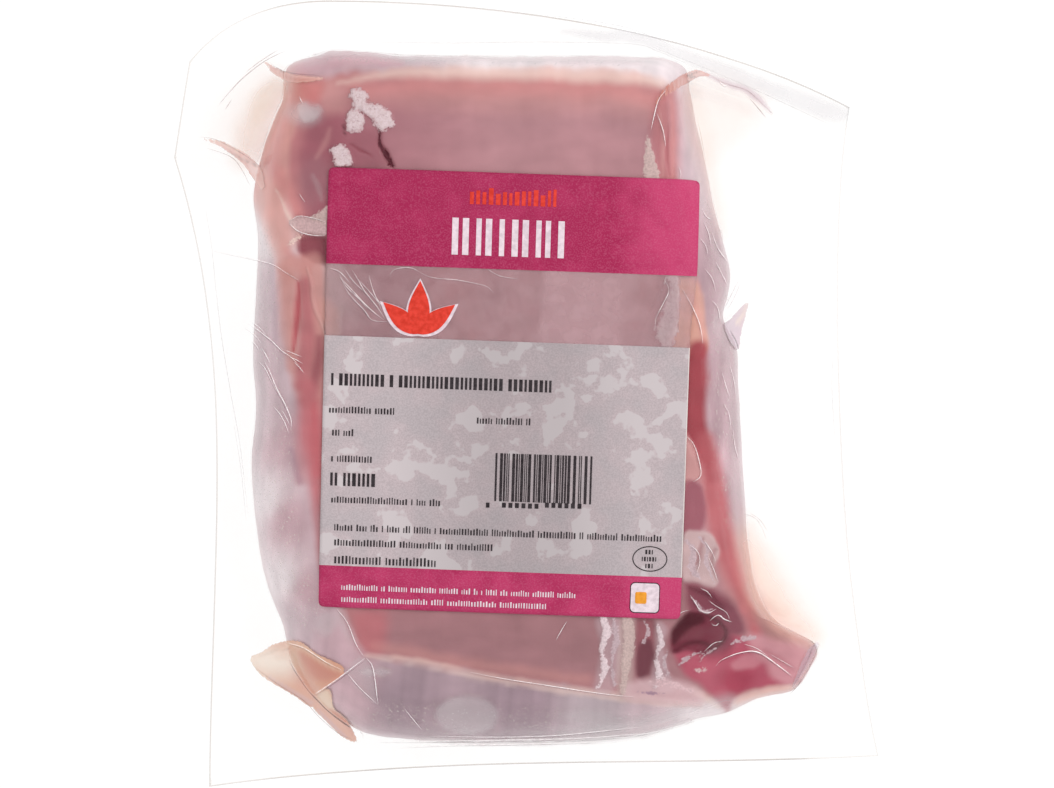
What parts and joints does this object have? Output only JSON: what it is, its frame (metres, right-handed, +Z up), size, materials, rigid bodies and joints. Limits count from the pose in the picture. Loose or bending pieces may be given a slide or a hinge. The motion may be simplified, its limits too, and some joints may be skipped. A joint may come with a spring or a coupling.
{
  "type": "vacuum-packed pork loin",
  "caption": "Clear vacuum pouch drawn tight round a boneless pork loin, with a sealed border all round and a printed label on top; lies flat on its underside.",
  "frame": {"origin": "middle of the pouch's outline, on the surface it lies on", "axes": "+Z up, out of the labelled face; +Y along the loin towards the label's header; +X to the right of the label as it is read"},
  "size_m": [0.197, 0.22, 0.0466],
  "materials": {
    "film": "clear, glossy, softly wrinkled pouch film, tight on the meat and loose at the border",
    "pork": "moist raw pork, pale mauve lean with salmon and cream fat, seen through the film",
    "label": "satin translucent label film, white panel between two magenta bands",
    "print": "matt black, white and orange-red print"
  },
  "bodies": {
    "root": {"vacuum_pack": "film", "label": "label"}
  },
  "joints": []
}
